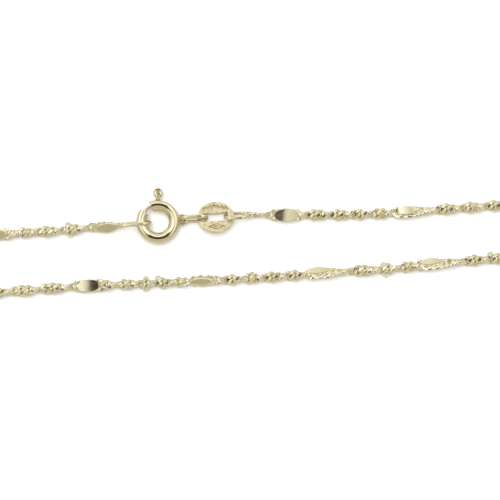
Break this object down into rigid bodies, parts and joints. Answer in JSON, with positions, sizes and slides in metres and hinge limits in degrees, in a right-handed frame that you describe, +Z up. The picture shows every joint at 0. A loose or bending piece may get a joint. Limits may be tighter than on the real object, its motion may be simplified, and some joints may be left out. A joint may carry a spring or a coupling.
{
  "type": "fine twisted neck chain with flat mirrors and a spring ring clasp",
  "caption": "Closed gold neck chain of small twisted links with flat polished mirrors, a spring ring clasp, jump rings and an oval tag, lying flat in two rows.",
  "frame": {"origin": "on the table under the middle of the closed loop", "axes": "+X along the two rows of chain, +Y from the plain row towards the row with the clasp, +Z up from the table"},
  "size_m": [0.1995, 0.0209, 0.0023],
  "materials": {
    "chain_gold": "polished",
    "mirror_gold": "mirror polished",
    "clasp_gold": "polished",
    "ring_gold": "polished",
    "tag_gold": "satin"
  },
  "bodies": {
    "necklace": {"spring_ring_body": "clasp_gold", "end_ring": "ring_gold", "clasp_link": "ring_gold", "tag": "tag_gold", "tag_ring": "ring_gold", "chain_left": "chain_gold", "chain_right": "chain_gold", "mirror_01": "mirror_gold", "mirror_02": "mirror_gold", "mirror_03": "mirror_gold", "mirror_04": "mirror_gold", "mirror_05": "mirror_gold", "mirror_06": "mirror_gold", "mirror_07": "mirror_gold", "mirror_08": "mirror_gold", "mirror_09": "mirror_gold", "mirror_10": "mirror_gold", "mirror_11": "mirror_gold", "mirror_12": "mirror_gold", "mirror_13": "mirror_gold", "mirror_14": "mirror_gold", "mirror_15": "mirror_gold", "mirror_16": "mirror_gold", "mirror_17": "mirror_gold", "mirror_18": "mirror_gold", "mirror_19": "mirror_gold", "mirror_20": "mirror_gold", "mirror_21": "mirror_gold", "mirror_22": "mirror_gold", "mirror_23": "mirror_gold", "mirror_24": "mirror_gold", "mirror_25": "mirror_gold", "mirror_26": "mirror_gold", "mirror_27": "mirror_gold", "mirror_28": "mirror_gold", "mirror_29": "mirror_gold"},
    "bolt": {"spring_ring_bolt": "clasp_gold"}
  },
  "joints": [
    {"name": "clasp_bolt", "type": "hinge", "parent": "necklace", "child": "bolt", "pos_m": [-0.01103, 0.0042, 0.00102], "axis": [0.0698, 0, 0.9976], "range_deg": [-40, 0], "stiffness_Nm_per_rad": 0.001}
  ]
}
